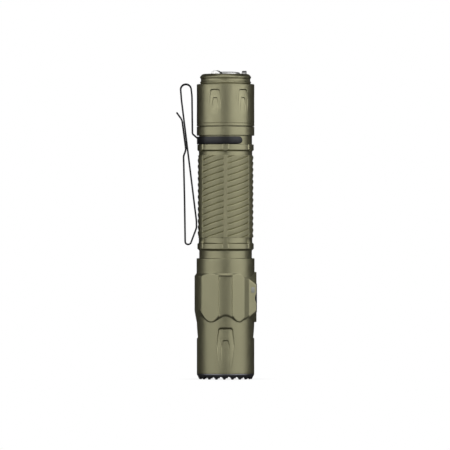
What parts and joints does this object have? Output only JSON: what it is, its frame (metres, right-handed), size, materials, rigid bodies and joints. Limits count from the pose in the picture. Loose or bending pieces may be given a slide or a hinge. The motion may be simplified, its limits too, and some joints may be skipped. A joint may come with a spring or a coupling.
{
  "type": "tactical flashlight",
  "caption": "Slim cylindrical flashlight with crowned strike bezel, knurled grip, tail and side push switches, and a swivelling two-way pocket clip.",
  "frame": {"origin": "centre of the crown of bezel teeth that the light stands on, on the tube's axis", "axes": "+Z along the tube's axis from the bezel to the tail button; +X towards the side switch, with the pocket clip on -X; -Y is the front"},
  "size_m": [0.0366, 0.0278, 0.1391],
  "materials": {
    "bezel_steel": "dark coated, satin",
    "window_glass": "polished, coated",
    "seal_rubber": "matte",
    "optic_plastic": "clear, polished",
    "white_plastic": "moulded",
    "emitter": "phosphor",
    "copper_board": "bare copper",
    "anodised_head": "hard anodised, satin",
    "anodised_tube": "hard anodised, satin",
    "lead_wire": "insulated",
    "circuit_board": "solder mask",
    "components": "moulded",
    "black_plastic": "moulded",
    "switch_ring": "satin",
    "switch_metal": "satin",
    "indicator_lens": "milky",
    "brass": "turned, gold plated",
    "cell_can": "nickel plated",
    "cell_wrap": "shrink sleeve",
    "cell_cap": "nickel plated",
    "spring_steel": "gold plated",
    "polished_steel": "bright",
    "clip_steel": "black coated, satin"
  },
  "bodies": {
    "light": {"strike_bezel": "bezel_steel", "lens_window": "window_glass", "window_gasket": "seal_rubber", "optic": "optic_plastic", "optic_holder": "white_plastic", "led_emitter": "emitter", "led_board": "copper_board", "head_housing": "anodised_head", "led_leads": "lead_wire", "driver_board": "circuit_board", "driver_components": "components", "side_switch_board": "circuit_board", "side_switch": "components", "side_button_ring": "switch_ring", "indicator_window": "indicator_lens", "contact_board": "circuit_board", "contact_ring": "brass", "head_contact": "brass", "head_o_ring": "seal_rubber", "battery_tube": "anodised_tube", "tail_o_ring": "seal_rubber", "side_button_seal": "seal_rubber"},
    "side_button": {"side_button": "switch_metal", "side_switch_plunger": "components"},
    "battery": {"battery_can": "cell_can", "battery_wrap": "cell_wrap", "battery_insulator": "white_plastic", "battery_positive": "cell_cap"},
    "tail_cap": {"tail_cap": "anodised_tube", "tail_ring": "brass", "tail_board": "circuit_board", "tail_switch": "components", "switch_sleeve": "black_plastic", "tail_spring": "spring_steel", "tail_button_seal": "seal_rubber", "tail_guard": "polished_steel"},
    "tail_button": {"tail_button": "polished_steel", "tail_switch_plunger": "components"},
    "pocket_clip": {"pocket_clip": "clip_steel"}
  },
  "joints": [
    {"name": "cap_travel", "type": "slide", "parent": "light", "child": "battery", "axis": [0, 0, 1], "range_m": [0, 0.00625]},
    {"name": "cap_turn", "type": "hinge", "parent": "battery", "child": "tail_cap", "pos_m": [0, 0, 0.125], "axis": [0, 0, 1], "range_deg": [0, 2256]},
    {"name": "tail_button_press", "type": "slide", "parent": "tail_cap", "child": "tail_button", "axis": [0, 0, -1], "range_m": [0, 0.0012], "stiffness_N_per_m": 1500, "springref_m": -0.0015, "deforming": ["tail_button_seal"]},
    {"name": "side_button_press", "type": "slide", "parent": "light", "child": "side_button", "axis": [-1, 0, 0], "range_m": [0, 0.0007], "stiffness_N_per_m": 1500, "springref_m": -0.001, "deforming": ["side_button_seal"]},
    {"name": "clip_swivel", "type": "hinge", "parent": "light", "child": "pocket_clip", "pos_m": [0, 0, 0.1077], "axis": [0, 0, 1], "continuous": true}
  ],
  "couplings": [
    {"joint": "cap_turn", "follows": "cap_travel", "rad_per_m": 6283.2}
  ]
}
